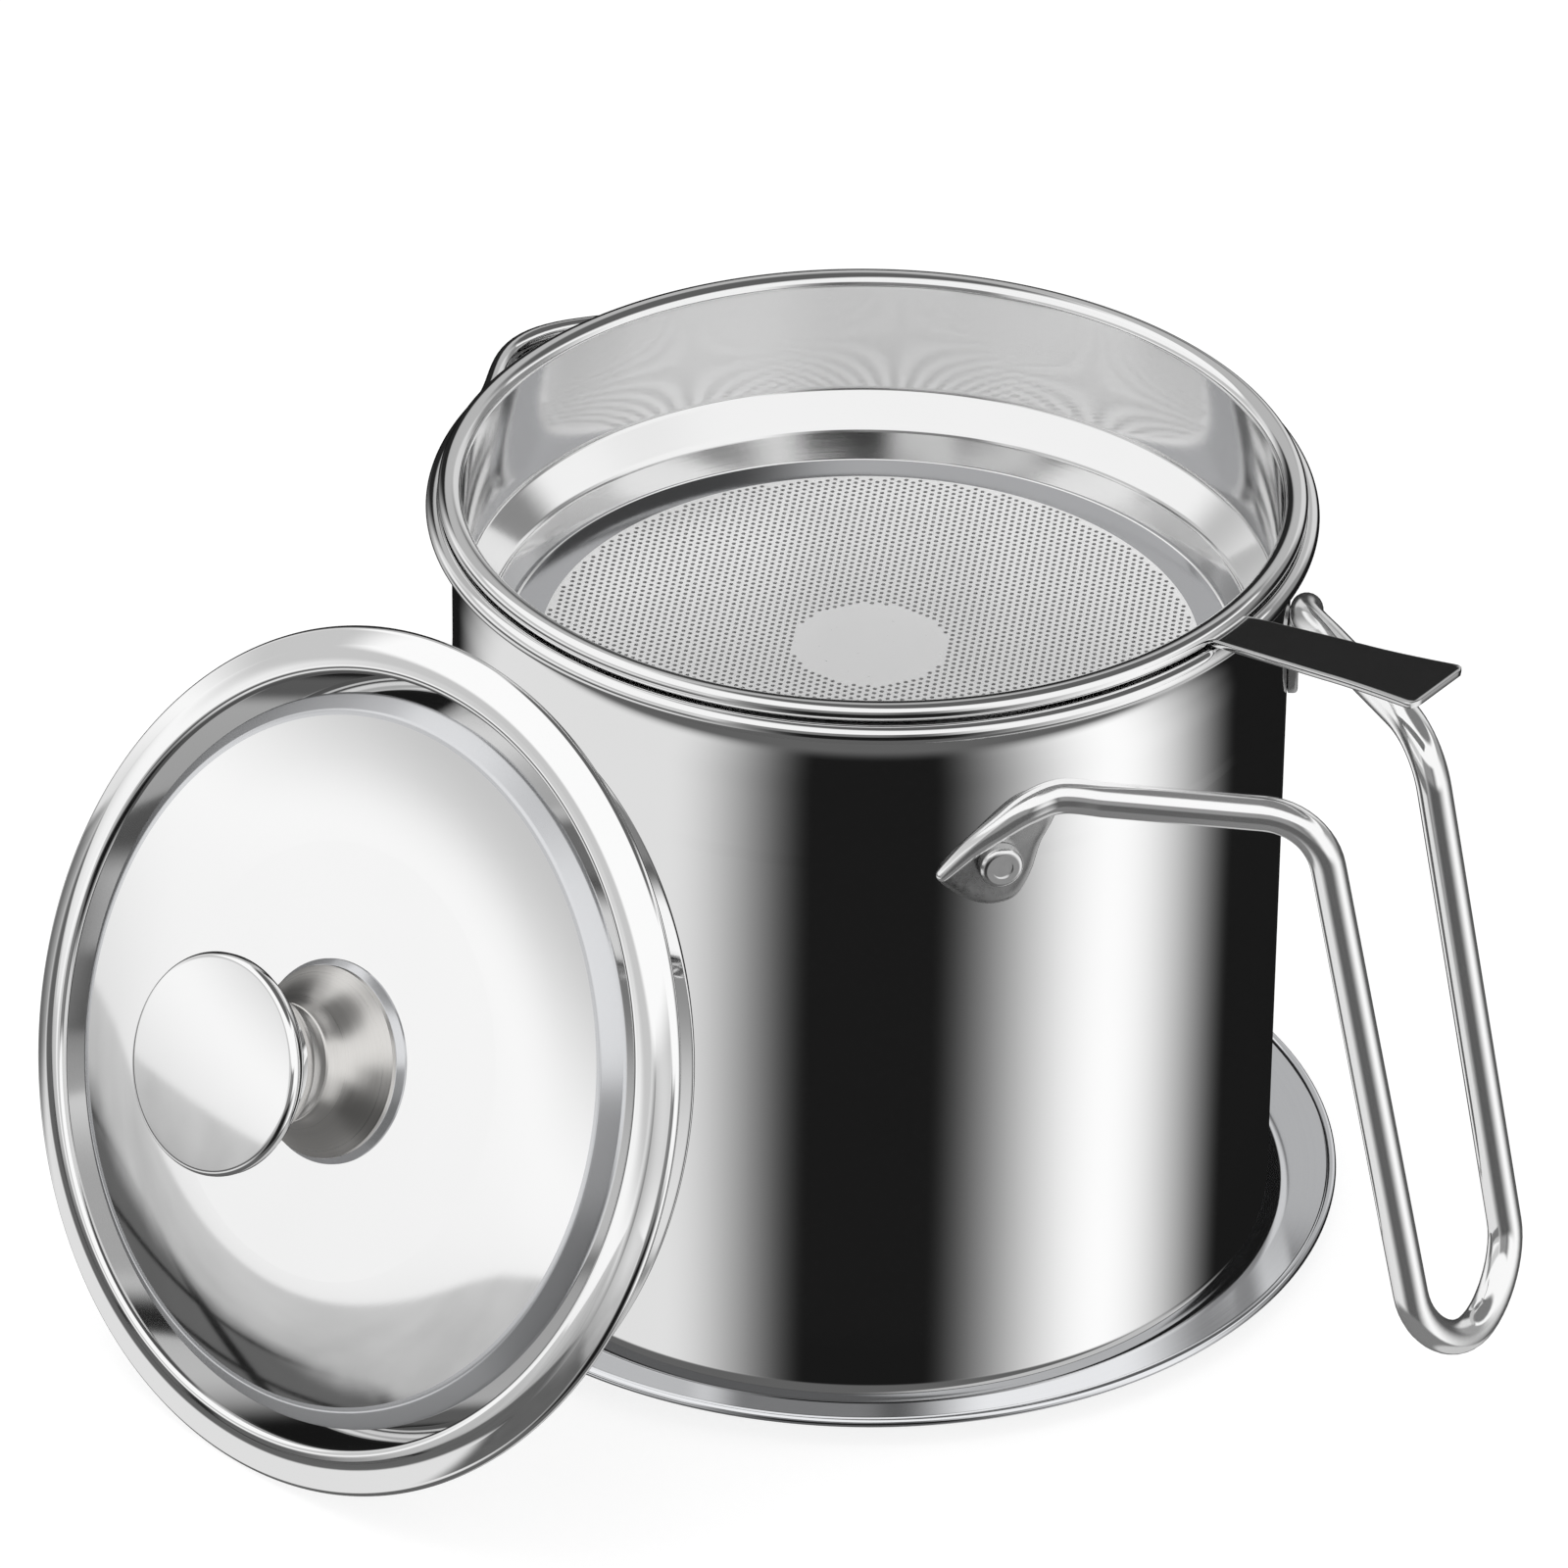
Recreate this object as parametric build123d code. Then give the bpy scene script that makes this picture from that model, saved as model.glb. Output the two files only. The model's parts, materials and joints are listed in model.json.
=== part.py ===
from build123d import *
import math
import os

# Bacon grease container: a saucer tray, a pot with a pouring lip and a bent rod handle, a lift-out
# strainer and a lid that leans against the pot. Millimetres, +Z up, origin at the middle of the
# tray's underside, handle along +X, pouring lip along -X.

# Sheet and tray
SHEET = 0.6
TRAY_R = 70.1
TRAY_LIP_Z = 4.6
TRAY_FLOOR_R = 60.5
TRAY_BEAD = 0.75

# Pot
POT_R = 60.0
POT_BASE_Z = SHEET
POT_KNUCKLE = 3.2
POT_NECK_Z = 92.0
POT_BEAD_R = 62.3
POT_BEAD = 1.4
POT_RIM_Z = 114.8
LIP_ANGLE = 175.0
LIP_REACH = 5.5
LIP_HALF_WIDTH = 17.0
NECK_SEAM = 41.0
BEAD_SEAM = 97.0

# Strainer
STRAINER_R = 59.0
STRAINER_SHEET = 0.5
STRAINER_BEAD_R = 60.65
STRAINER_BEAD = 1.35
STRAINER_RIM_Z = 117.4
LEDGE_TOP = 17.8
LEDGE_R = 54.7
LEDGE_BOTTOM = 22.2
STRAINER_DEPTH = 26.9
SIEVE_RIM_R = 50.0
SIEVE_R = 52.2
SIEVE_SHEET = 0.4
SIEVE_HOLE_R = 1.0
SIEVE_PITCH = 6.0
SIEVE_HOLES_OUT_R = 46.6
SIEVE_ISLAND_R = 11.5

# Thumb tab
TAB_SHEET = 0.9
TAB_ROOT_X = 60.7
TAB_TIP_X = 97.4
TAB_ROOT_HALF = 4.3
TAB_TIP_HALF = 6.6

# Handle and rivets
ROD = 2.5
RIVET_ANGLE = 36.5
RIVET_Z = 92.0
RIVET_HEAD_R = 3.15
RIVET_SHANK_R = 2.0
SPADE_SHEET = 1.5
SPADE_GAP = 0.04
CORNER_X = 87.0
CORNER_Y = 13.2
CORNER_Z = 102.2
CORNER_BEND = 9.5
LEG_END_X = 105.0
LEG_END_Y = 11.8
LEG_END_Z = 29.0

# Lid, drawn upright about its own axis and then leaned against the pot
LID_SHEET = 0.6
LID_BEAD_R = 60.4
LID_BEAD = 1.0
PLUG_R = 55.2
PLUG_DEPTH = 11.4
CHANNEL = 2.6
DOME_TOP = 4.2
CREASE_R = 49.5
CREASE_Z = 2.9
SHOULDER_Z = 0.6
SCREW_HOLE_R = 2.2
LEAN_AZIMUTH = -98.8
LEAN_RISE = 23.3
LEAN_X = -24.08
LEAN_Y = -89.28

# Knob, in the lid's own frame
FOOT_R = 14.5
FOOT_HEIGHT = 1.4
STEM_TOP = 19.6
NECK_R = 8.5
NECK_Z = 14.0
GROOVE = 0.5
COLLAR_R = 10.4
HEAD_R = 15.7
HEAD_WIDEST = 27.8
CAP_R = 14.8
CAP_Z = 28.8
HEAD_TOP = 30.0
SCREW_R = 2.0
SCREW_END = 27.0

os.makedirs("parts", exist_ok=True)


def unit(x, y):
    length = math.hypot(x, y)
    return x / length, y / length


def shifted(corners, distance):
    """The same bent line moved sideways to its left, with every bend kept concentric."""
    moved = []
    for i, (x, y, bend) in enumerate(corners):
        before = corners[max(i - 1, 0)]
        after = corners[min(i + 1, len(corners) - 1)]
        into = unit(x - before[0], y - before[1]) if i > 0 else None
        out = unit(after[0] - x, after[1] - y) if i < len(corners) - 1 else None
        into = into or out
        out = out or into
        turn = into[0] * out[1] - into[1] * out[0]
        half = 1 + into[0] * out[0] + into[1] * out[1]
        side_x = -(into[1] + out[1]) * distance / half
        side_y = (into[0] + out[0]) * distance / half
        new_bend = bend - math.copysign(distance, turn) if bend > 0 else 0
        moved.append((x + side_x, y + side_y, max(new_bend, 0)))
    return moved


def bent_line(corners):
    """Straight runs and round bends through the corners, each (x, y, bend radius)."""
    edges = []
    start = corners[0][:2]
    for i in range(1, len(corners) - 1):
        x, y, bend = corners[i]
        into = unit(x - corners[i - 1][0], y - corners[i - 1][1])
        out = unit(corners[i + 1][0] - x, corners[i + 1][1] - y)
        angle = math.acos(max(-1, min(1, into[0] * out[0] + into[1] * out[1])))
        if bend <= 0 or angle < 1e-4:
            edges.append(Line(start, (x, y)))
            start = (x, y)
            continue
        back = bend * math.tan(angle / 2)
        first = (x - into[0] * back, y - into[1] * back)
        last = (x + out[0] * back, y + out[1] * back)
        middle_x, middle_y = unit(out[0] - into[0], out[1] - into[1])
        rise = bend / math.cos(angle / 2) - bend
        if math.dist(start, first) > 1e-5:
            edges.append(Line(start, first))
        edges.append(ThreePointArc(first, (x + middle_x * rise, y + middle_y * rise), last))
        start = last
    edges.append(Line(start, corners[-1][:2]))
    return edges


def sheet_ring(corners, thickness):
    """A bent sheet profile (radius, height) spun about Z. The sheet lies left of the line."""
    other = shifted(corners, thickness)
    outline = bent_line(corners)
    outline.append(Line(corners[-1][:2], other[-1][:2]))
    outline += bent_line(list(reversed(other)))
    outline.append(Line(other[0][:2], corners[0][:2]))
    return revolve(Plane.XZ * make_face(outline), Axis.Z)


def bead_ring(radius, height, size):
    return Pos(0, 0, height) * Torus(radius, size)


def lip_swell(angle, half_width):
    """Share of the pouring lip's reach at a plan angle: 1 in its middle, 0 at its sides."""
    away = abs((angle - LIP_ANGLE + 180) % 360 - 180)
    if away >= half_width:
        return 0.0
    return math.cos(math.pi / 2 * away / half_width) ** 2


def lipped_outline(radius, reach, half_width, height, seam):
    """A closed ring with the pouring lip pushed out of it. The ring is joined at the seam angle."""
    steps = 72
    points = []
    for i in range(steps):
        angle = seam + 360 * i / steps
        r = radius + reach * lip_swell(angle, half_width)
        points.append((r * math.cos(math.radians(angle)), r * math.sin(math.radians(angle)), height))
    return Spline(*points, periodic=True)


def on_wall(angle, height, radius):
    a = math.radians(angle)
    return Vector(radius * math.cos(a), radius * math.sin(a), height)


# Tray: flat floor, a broad flange that rises to a small rolled edge
tray_line = [
    (0.0, 0.0, 0),
    (TRAY_FLOOR_R, 0.0, 3.0),
    (TRAY_FLOOR_R + 2.2, 2.2, 3.0),
    (TRAY_R - 0.6, TRAY_LIP_Z - 1.4, 0),
]
tray = sheet_ring(tray_line, SHEET)
tray += bead_ring(TRAY_R - TRAY_BEAD, TRAY_LIP_Z - TRAY_BEAD, TRAY_BEAD)

# Pot: drawn can with a raised base, a flared neck with the pouring lip, and a rolled rim
pot_line = [
    (0.0, POT_BASE_Z + 1.2, 0),
    (46.0, POT_BASE_Z + 1.2, 3.0),
    (49.0, POT_BASE_Z, 3.0),
    (POT_R, POT_BASE_Z, POT_KNUCKLE),
    (POT_R, POT_NECK_Z, 0),
]
pot = sheet_ring(pot_line, SHEET)

NECK_SECTIONS = (
    (-1.0, -0.04, 0.0, 12.0),
    (5.0, -0.03, 0.05, 12.5),
    (10.0, 0.0, 0.22, 13.5),
    (15.0, 0.05, 0.5, 14.5),
    (19.0, 0.35, 0.8, 16.0),
    (21.4, 1.0, 1.0, LIP_HALF_WIDTH),
    (22.6, 1.75, 1.0, LIP_HALF_WIDTH),
)
NECK_SHEET = 0.52


def neck_body(inward):
    rings = []
    for above, flare, share, width in NECK_SECTIONS:
        outline = lipped_outline(POT_R - inward + flare, LIP_REACH * share, width,
                                 POT_NECK_Z + above, NECK_SEAM)
        rings.append(make_face(outline))
    return loft(rings)


pot += neck_body(0.0) - neck_body(NECK_SHEET)
rim_path = lipped_outline(POT_BEAD_R, LIP_REACH, LIP_HALF_WIDTH, POT_RIM_Z, BEAD_SEAM)
rim_start = Plane(rim_path @ 0, z_dir=rim_path % 0)
pot += sweep(rim_start * Circle(POT_BEAD), path=rim_path)

# Strainer basket: rolled rim, straight wall, cone ledge, short lower wall and an inward seat
strainer_line = [
    (STRAINER_BEAD_R, STRAINER_RIM_Z + STRAINER_BEAD - STRAINER_SHEET, 0),
    (STRAINER_R, STRAINER_RIM_Z + STRAINER_BEAD - STRAINER_SHEET - 0.1, 1.2),
    (STRAINER_R, STRAINER_RIM_Z - LEDGE_TOP, 1.6),
    (LEDGE_R, STRAINER_RIM_Z - LEDGE_BOTTOM, 1.6),
    (SIEVE_R + 0.9, STRAINER_RIM_Z - STRAINER_DEPTH, 0.9),
    (SIEVE_RIM_R, STRAINER_RIM_Z - STRAINER_DEPTH, 0),
]
strainer_line.reverse()
basket = sheet_ring(strainer_line, STRAINER_SHEET)
strainer_bead = bead_ring(STRAINER_BEAD_R, STRAINER_RIM_Z, STRAINER_BEAD)
basket += strainer_bead

# Sieve disc: rows of holes around a plain round centre
sieve_z = STRAINER_RIM_Z - STRAINER_DEPTH + STRAINER_SHEET
sieve_face = Circle(SIEVE_R)
hole_spots = []
rows = int(SIEVE_HOLES_OUT_R / SIEVE_PITCH) + 2
for row in range(-rows, rows + 1):
    for column in range(-rows, rows + 1):
        x = (column + 0.5 * (row % 2)) * SIEVE_PITCH
        y = row * SIEVE_PITCH * math.sqrt(3) / 2
        if SIEVE_ISLAND_R < math.hypot(x, y) < SIEVE_HOLES_OUT_R:
            hole_spots.append(Location((x, y)))
sieve_face -= [spot * Circle(SIEVE_HOLE_R) for spot in hole_spots]
sieve = extrude(Pos(0, 0, sieve_z) * sieve_face, SIEVE_SHEET)

# Thumb tab: widens and climbs away from the strainer's rim, over the pot's rim
tab_low_z = POT_RIM_Z + POT_BEAD + 0.3
tab_line = [
    (TAB_ROOT_X, tab_low_z, 0),
    (67.0, tab_low_z, 22.0),
    (TAB_TIP_X, tab_low_z + 3.9, 0),
]
tab_back = shifted(tab_line, TAB_SHEET)
tab_outline = bent_line(tab_line)
tab_outline.append(Line(tab_line[-1][:2], tab_back[-1][:2]))
tab_outline += bent_line(list(reversed(tab_back)))
tab_outline.append(Line(tab_back[0][:2], tab_line[0][:2]))
tab = extrude(Plane.XZ * make_face(tab_outline), TAB_TIP_HALF + 2, both=True)
tab_plan = make_face(
    Polyline(
        (TAB_ROOT_X, -TAB_ROOT_HALF),
        (TAB_TIP_X - 16, -TAB_ROOT_HALF - 0.9),
        (TAB_TIP_X - 0.6, -TAB_TIP_HALF),
        (TAB_TIP_X + 0.2, TAB_TIP_HALF),
        (TAB_TIP_X - 16, TAB_ROOT_HALF + 0.9),
        (TAB_ROOT_X, TAB_ROOT_HALF),
        close=True,
    )
)
tab_plan = fillet(tab_plan.vertices().filter_by_position(Axis.X, TAB_TIP_X - 2, TAB_TIP_X + 2), 1.6)
tab &= extrude(Pos(0, 0, tab_low_z - 2) * tab_plan, 12)
tab -= strainer_bead

# Handle: one rod. Each end is pressed into a ridge with a thin riveted leaf below it.
RIDGE_SPOTS = ((-33.0, 100.7, 2.35), (-36.8, 98.0, 1.95), (-40.2, 95.0, 1.5), (-43.9, 90.6, 0.95))
LEAF_SPOTS = (
    (-44.2, 90.6),
    (-42.6, 87.9),
    (-39.4, 85.7),
    (-36.4, 85.1),
    (-33.8, 86.0),
    (-31.9, 89.4),
    (-30.6, 94.0),
    (-28.6, 98.4),
    (-30.2, 101.2),
    (-34.0, 100.6),
    (-39.4, 95.8),
)


def rod_point(x, y, z, side):
    return Vector(x, -y * side, z)


def handle_half(side):
    """One arm from its pressed end to the middle of the grip's bottom bend."""
    root_angle = 28.6
    root = on_wall(-root_angle * side, 101.9, POT_R + ROD + 0.35)
    corner = rod_point(CORNER_X, CORNER_Y, CORNER_Z, side)
    foot = rod_point(LEG_END_X, LEG_END_Y, LEG_END_Z, side)
    along_arm = (corner - root).normalized()
    along_leg = (foot - corner).normalized()
    bend = math.acos(along_arm.dot(along_leg))
    cut = CORNER_BEND * math.tan(bend / 2)
    arm_end = corner - along_arm * cut
    leg_start = corner + along_leg * cut
    inward = (along_leg - along_arm).normalized()
    middle = corner + inward * (CORNER_BEND / math.cos(bend / 2) - CORNER_BEND)
    arc = ThreePointArc(arm_end, middle, leg_start)
    down = Vector(along_leg.X, 0, along_leg.Z).normalized()
    bottom = Vector(foot.X, 0, foot.Z) + down * LEG_END_Y
    turn = Spline(foot, bottom, tangents=(along_leg, Vector(0, side, 0)))
    path = Wire([Line(root, arm_end), arc, Line(leg_start, foot), turn])
    rod = sweep(Plane(root, z_dir=along_arm) * Circle(ROD), path=path)

    # The arm runs on as a ridge that thins along the wall.
    slices = [Plane(root + along_arm * back, z_dir=along_arm) * Circle(ROD) for back in (3.0, 0.0)]
    centres = [on_wall(a * side, z, POT_R + size + SPADE_GAP) for a, z, size in RIDGE_SPOTS]
    for i, (_, _, size) in enumerate(RIDGE_SPOTS):
        ahead = centres[min(i + 1, len(centres) - 1)]
        behind = centres[i - 1] if i > 0 else root
        slices.append(Plane(centres[i], z_dir=(behind - ahead).normalized()) * Circle(size))
    ridge = loft(slices)
    ridge += Pos(centres[-1]) * Sphere(RIDGE_SPOTS[-1][2])

    middle_angle = math.radians(-RIVET_ANGLE)
    outward = Vector(math.cos(middle_angle), math.sin(middle_angle), 0)
    leaf_plane = Plane(origin=outward * (POT_R - 6), x_dir=(0, 0, 1), z_dir=outward)
    flat = []
    for a, z in LEAF_SPOTS:
        spot = leaf_plane.to_local_coords(on_wall(a, z, POT_R + SPADE_SHEET))
        flat.append((spot.X, spot.Y))
    blank = extrude(leaf_plane * make_face(Spline(*flat, periodic=True)), 14)
    skin = Cylinder(POT_R + SPADE_GAP + SPADE_SHEET, 240) - Cylinder(POT_R + SPADE_GAP, 242)
    leaf = blank & skin
    if side < 0:
        leaf = mirror(leaf, Plane.XZ)
    return rod + ridge + leaf


handle = handle_half(1) + handle_half(-1)
handle -= Cylinder(POT_R + SPADE_GAP / 2, 240)


def rivet(side):
    """Outer head, shank through leaf and wall, and a flatter head inside the pot."""
    a = math.radians(RIVET_ANGLE * side)
    outward = Vector(math.cos(a), math.sin(a), 0)
    seat = POT_R + SPADE_GAP + SPADE_SHEET
    axis = Plane(origin=outward * seat + Vector(0, 0, RIVET_Z), z_dir=outward, x_dir=(0, 0, 1))
    head = fillet(Cylinder(RIVET_HEAD_R, 2.6, align=(Align.CENTER, Align.CENTER, Align.MIN))
                  .edges().sort_by(Axis.Z)[-1], 0.8)
    head -= Pos(0, 0, 2.6) * Cylinder(1.5, 0.5)
    outer = axis * Pos(0, 0, -0.6) * head
    outer -= Cylinder(seat, 240)
    inner = axis * Pos(0, 0, -3.4) * Sphere(3.6)
    inner &= axis * Pos(0, 0, -4.0) * Cylinder(2.9, 2.6)
    inner &= Cylinder(POT_R - SHEET, 240)
    inner -= axis * Pos(0, 0, -13.6) * Cylinder(4, 20)
    shank_length = 4.0
    shank = axis * Pos(0, 0, 1.0) * Cylinder(RIVET_SHANK_R, shank_length,
                                             align=(Align.CENTER, Align.CENTER, Align.MAX))
    return outer + shank + inner, axis * Pos(0, 0, 0) * Cylinder(RIVET_SHANK_R, 12)


rivet_front, front_bore = rivet(-1)
rivet_rear, rear_bore = rivet(1)
handle -= [front_bore, rear_bore]
pot -= [front_bore, rear_bore]

# Lid shell: dome with a bevelled shoulder, deep narrow channel whose outer wall is the plug,
# sloping band, rolled edge
channel_in = PLUG_R - LID_SHEET - CHANNEL
lid_line = [
    (SCREW_HOLE_R, DOME_TOP, 0),
    (40.0, DOME_TOP, 130.0),
    (CREASE_R, CREASE_Z, 1.0),
    (channel_in, SHOULDER_Z, 1.0),
    (channel_in, -PLUG_DEPTH + LID_SHEET, 1.15),
    (channel_in + CHANNEL, -PLUG_DEPTH + LID_SHEET, 1.15),
    (channel_in + CHANNEL, 2.6, 1.1),
    (57.6, 2.3, 6.0),
    (LID_BEAD_R + 0.2, 0.75, 0),
]
lid_line.reverse()
lid = sheet_ring(lid_line, LID_SHEET)
lid += bead_ring(LID_BEAD_R, 0, LID_BEAD)

# Knob pieces, stacked on the lid's axis
foot_profile = make_face(
    Polyline(
        (SCREW_HOLE_R, DOME_TOP),
        (FOOT_R, DOME_TOP),
        (FOOT_R, DOME_TOP + 0.5),
        (FOOT_R - 0.9, DOME_TOP + FOOT_HEIGHT),
        (SCREW_HOLE_R, DOME_TOP + FOOT_HEIGHT),
        close=True,
    )
)
knob_foot = revolve(Plane.XZ * foot_profile, Axis.Z)

stem_base = DOME_TOP + FOOT_HEIGHT
flare = Spline((FOOT_R - 0.9, stem_base + 0.7), (11.3, stem_base + 3.0), (9.5, stem_base + 5.6), (NECK_R, NECK_Z))
collar = Spline((NECK_R, NECK_Z + GROOVE), (9.1, 16.4), (COLLAR_R, STEM_TOP - 0.6))
stem_profile = make_face(
    [
        Line((SCREW_HOLE_R, stem_base), (FOOT_R - 0.9, stem_base)),
        Line((FOOT_R - 0.9, stem_base), (FOOT_R - 0.9, stem_base + 0.7)),
        flare,
        Line((NECK_R, NECK_Z), (NECK_R - GROOVE, NECK_Z + GROOVE / 2)),
        Line((NECK_R - GROOVE, NECK_Z + GROOVE / 2), (NECK_R, NECK_Z + GROOVE)),
        collar,
        Line((COLLAR_R, STEM_TOP - 0.6), (COLLAR_R, STEM_TOP)),
        Line((COLLAR_R, STEM_TOP), (SCREW_HOLE_R, STEM_TOP)),
        Line((SCREW_HOLE_R, STEM_TOP), (SCREW_HOLE_R, stem_base)),
    ]
)
knob_stem = revolve(Plane.XZ * stem_profile, Axis.Z)

under_side = Spline((9.8, STEM_TOP + 0.9), (11.8, 24.0), (14.7, 25.7), (HEAD_R, HEAD_WIDEST),
                    tangents=((0.15, 1), (0, 1)))
edge_roll = Spline((HEAD_R, HEAD_WIDEST), (CAP_R, CAP_Z), tangents=((0, 1), (-1, 0.16)))
crown = Spline((CAP_R, CAP_Z), (0, HEAD_TOP), tangents=((-1, 0.16), (-1, 0)))
head_profile = make_face(
    [
        Line((0, STEM_TOP), (9.8, STEM_TOP)),
        Line((9.8, STEM_TOP), (9.8, STEM_TOP + 0.9)),
        under_side,
        edge_roll,
        crown,
        Line((0, HEAD_TOP), (0, STEM_TOP)),
    ]
)
knob_head = revolve(Plane.XZ * head_profile, Axis.Z)
knob_head -= Cylinder(SCREW_R + 0.02, SCREW_END + 0.5, align=(Align.CENTER, Align.CENTER, Align.MIN))

under_dome = DOME_TOP - LID_SHEET
WASHER_SHEET = 1.0
knob_washer = Pos(0, 0, under_dome - WASHER_SHEET) * (
    Cylinder(6.5, WASHER_SHEET, align=(Align.CENTER, Align.CENTER, Align.MIN))
    - Cylinder(SCREW_HOLE_R, 3)
)
screw_seat = under_dome - WASHER_SHEET
screw_head = Pos(0, 0, screw_seat) * Cylinder(3.9, 2.4, align=(Align.CENTER, Align.CENTER, Align.MAX))
screw_head = fillet(screw_head.edges().sort_by(Axis.Z)[0], 1.1)
screw_head -= Pos(0, 0, screw_seat - 2.4) * (Box(4.6, 0.9, 2.2) + Box(0.9, 4.6, 2.2))
knob_screw = screw_head + Pos(0, 0, screw_seat - 0.2) * Cylinder(
    SCREW_R, SCREW_END - screw_seat + 0.2, align=(Align.CENTER, Align.CENTER, Align.MIN)
)

lean = math.radians(LEAN_AZIMUTH)
rise = math.radians(LEAN_RISE)
lid_axis = Vector(math.cos(rise) * math.cos(lean), math.cos(rise) * math.sin(lean), math.sin(rise))
lid_height = LID_BEAD_R * math.cos(rise) + LID_BEAD
leaning = Plane(
    origin=(LEAN_X, LEAN_Y, lid_height),
    x_dir=(-math.sin(lean), math.cos(lean), 0),
    z_dir=lid_axis,
)

pieces = {
    "tray": tray,
    "pot_shell": pot,
    "handle_rod": handle,
    "rivet_front": rivet_front,
    "rivet_rear": rivet_rear,
    "strainer_basket": basket,
    "sieve_disc": sieve,
    "strainer_tab": tab,
    "lid_shell": leaning * lid,
    "knob_foot": leaning * knob_foot,
    "knob_stem": leaning * knob_stem,
    "knob_head": leaning * knob_head,
    "knob_washer": leaning * knob_washer,
    "knob_screw": leaning * knob_screw,
}
for name, piece in pieces.items():
    export_step(piece, f"parts/{name}.step")
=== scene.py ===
import bmesh
import bpy
import json
import math
from mathutils import Matrix, Vector

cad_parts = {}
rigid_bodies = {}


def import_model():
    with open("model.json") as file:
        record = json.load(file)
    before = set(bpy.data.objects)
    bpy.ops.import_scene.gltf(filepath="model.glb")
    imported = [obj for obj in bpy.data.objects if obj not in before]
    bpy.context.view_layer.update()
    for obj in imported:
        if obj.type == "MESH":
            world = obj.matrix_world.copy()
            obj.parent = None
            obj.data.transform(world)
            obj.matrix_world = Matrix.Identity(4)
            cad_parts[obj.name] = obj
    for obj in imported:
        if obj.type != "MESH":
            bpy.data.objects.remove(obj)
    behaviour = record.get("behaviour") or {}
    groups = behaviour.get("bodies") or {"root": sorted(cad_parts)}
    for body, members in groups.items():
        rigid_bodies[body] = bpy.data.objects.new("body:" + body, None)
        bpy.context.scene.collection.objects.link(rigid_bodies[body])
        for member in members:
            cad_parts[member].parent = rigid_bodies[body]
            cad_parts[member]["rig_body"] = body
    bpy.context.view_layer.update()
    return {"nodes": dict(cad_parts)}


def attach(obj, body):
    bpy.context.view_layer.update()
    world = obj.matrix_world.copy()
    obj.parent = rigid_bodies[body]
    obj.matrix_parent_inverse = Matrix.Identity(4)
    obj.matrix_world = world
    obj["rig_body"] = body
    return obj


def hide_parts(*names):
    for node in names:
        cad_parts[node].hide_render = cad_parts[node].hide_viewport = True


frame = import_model()
bpy.ops.object.select_all(action="DESELECT")

MM = 0.001

# Sizes in millimetres: the solids' own, apart from the sieve's pitch, holes and margins and the crown
SHEET = 0.6
TRAY_R = 70.1
TRAY_LIP_Z = 4.6
TRAY_FLOOR_R = 60.5
TRAY_BEAD = 0.75
POT_R = 60.0
POT_NECK_Z = 92.0
POT_BEAD_R = 62.3
POT_BEAD = 1.4
POT_RIM_Z = 114.8
LIP_ANGLE = 175.0
LIP_REACH = 5.5
NECK_TABLE = (
    (-1.0, -0.04, 0.0, 12.0),
    (5.0, -0.03, 0.05, 12.5),
    (10.0, 0.0, 0.22, 13.5),
    (15.0, 0.05, 0.5, 14.5),
    (19.0, 0.35, 0.8, 16.0),
    (21.4, 1.0, 1.0, 17.0),
    (22.6, 1.75, 1.0, 17.0),
)
STRAINER_R = 59.0
STRAINER_SHEET = 0.5
STRAINER_BEAD_R = 60.65
STRAINER_BEAD = 1.35
STRAINER_RIM_Z = 117.4
TAB_ROOT_X = 60.7
TAB_WAIST_X = 81.4
TAB_TIP_X = 97.4
TAB_SHEET = 0.9
TAB_CORNER = 1.6
SIEVE_Z = 91.0
SIEVE_R = 52.2
SIEVE_SHEET = 0.4
SIEVE_PITCH = 1.2
SIEVE_HOLE_R = 0.36
SIEVE_OUT_R = 46.9
SIEVE_ISLAND_R = 11.3
ROD = 2.5
LID_SHEET = 0.6
LID_BEAD_R = 60.4
LID_BEAD = 1.0
PLUG_R = 55.2
PLUG_DEPTH = 11.4
CHANNEL = 2.6
DOME_TOP = 4.2
CREASE_R = 49.5
CREASE_Z = 2.9
SHOULDER_Z = 0.6
SCREW_HOLE_R = 2.2
FOOT_HEIGHT = 1.4
LEAN_AZIMUTH = math.radians(-98.8)
LEAN_RISE = math.radians(23.3)
LEAN_SPOT = (-24.08, -89.28, LID_BEAD_R * math.cos(LEAN_RISE) + LID_BEAD)
STEM_TOP = 19.6
NECK_R = 8.5
NECK_Z = 14.0
GROOVE = 0.5
COLLAR_R = 10.4
HEAD_R = 15.7
HEAD_WIDEST = 27.8
CAP_R = 14.8
CAP_Z = 28.8
CROWN = 0.6

LID_AXIS = Vector((
    math.cos(LEAN_RISE) * math.cos(LEAN_AZIMUTH),
    math.cos(LEAN_RISE) * math.sin(LEAN_AZIMUTH),
    math.sin(LEAN_RISE),
))


# ---------------------------------------------------------------- node writing

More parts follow.
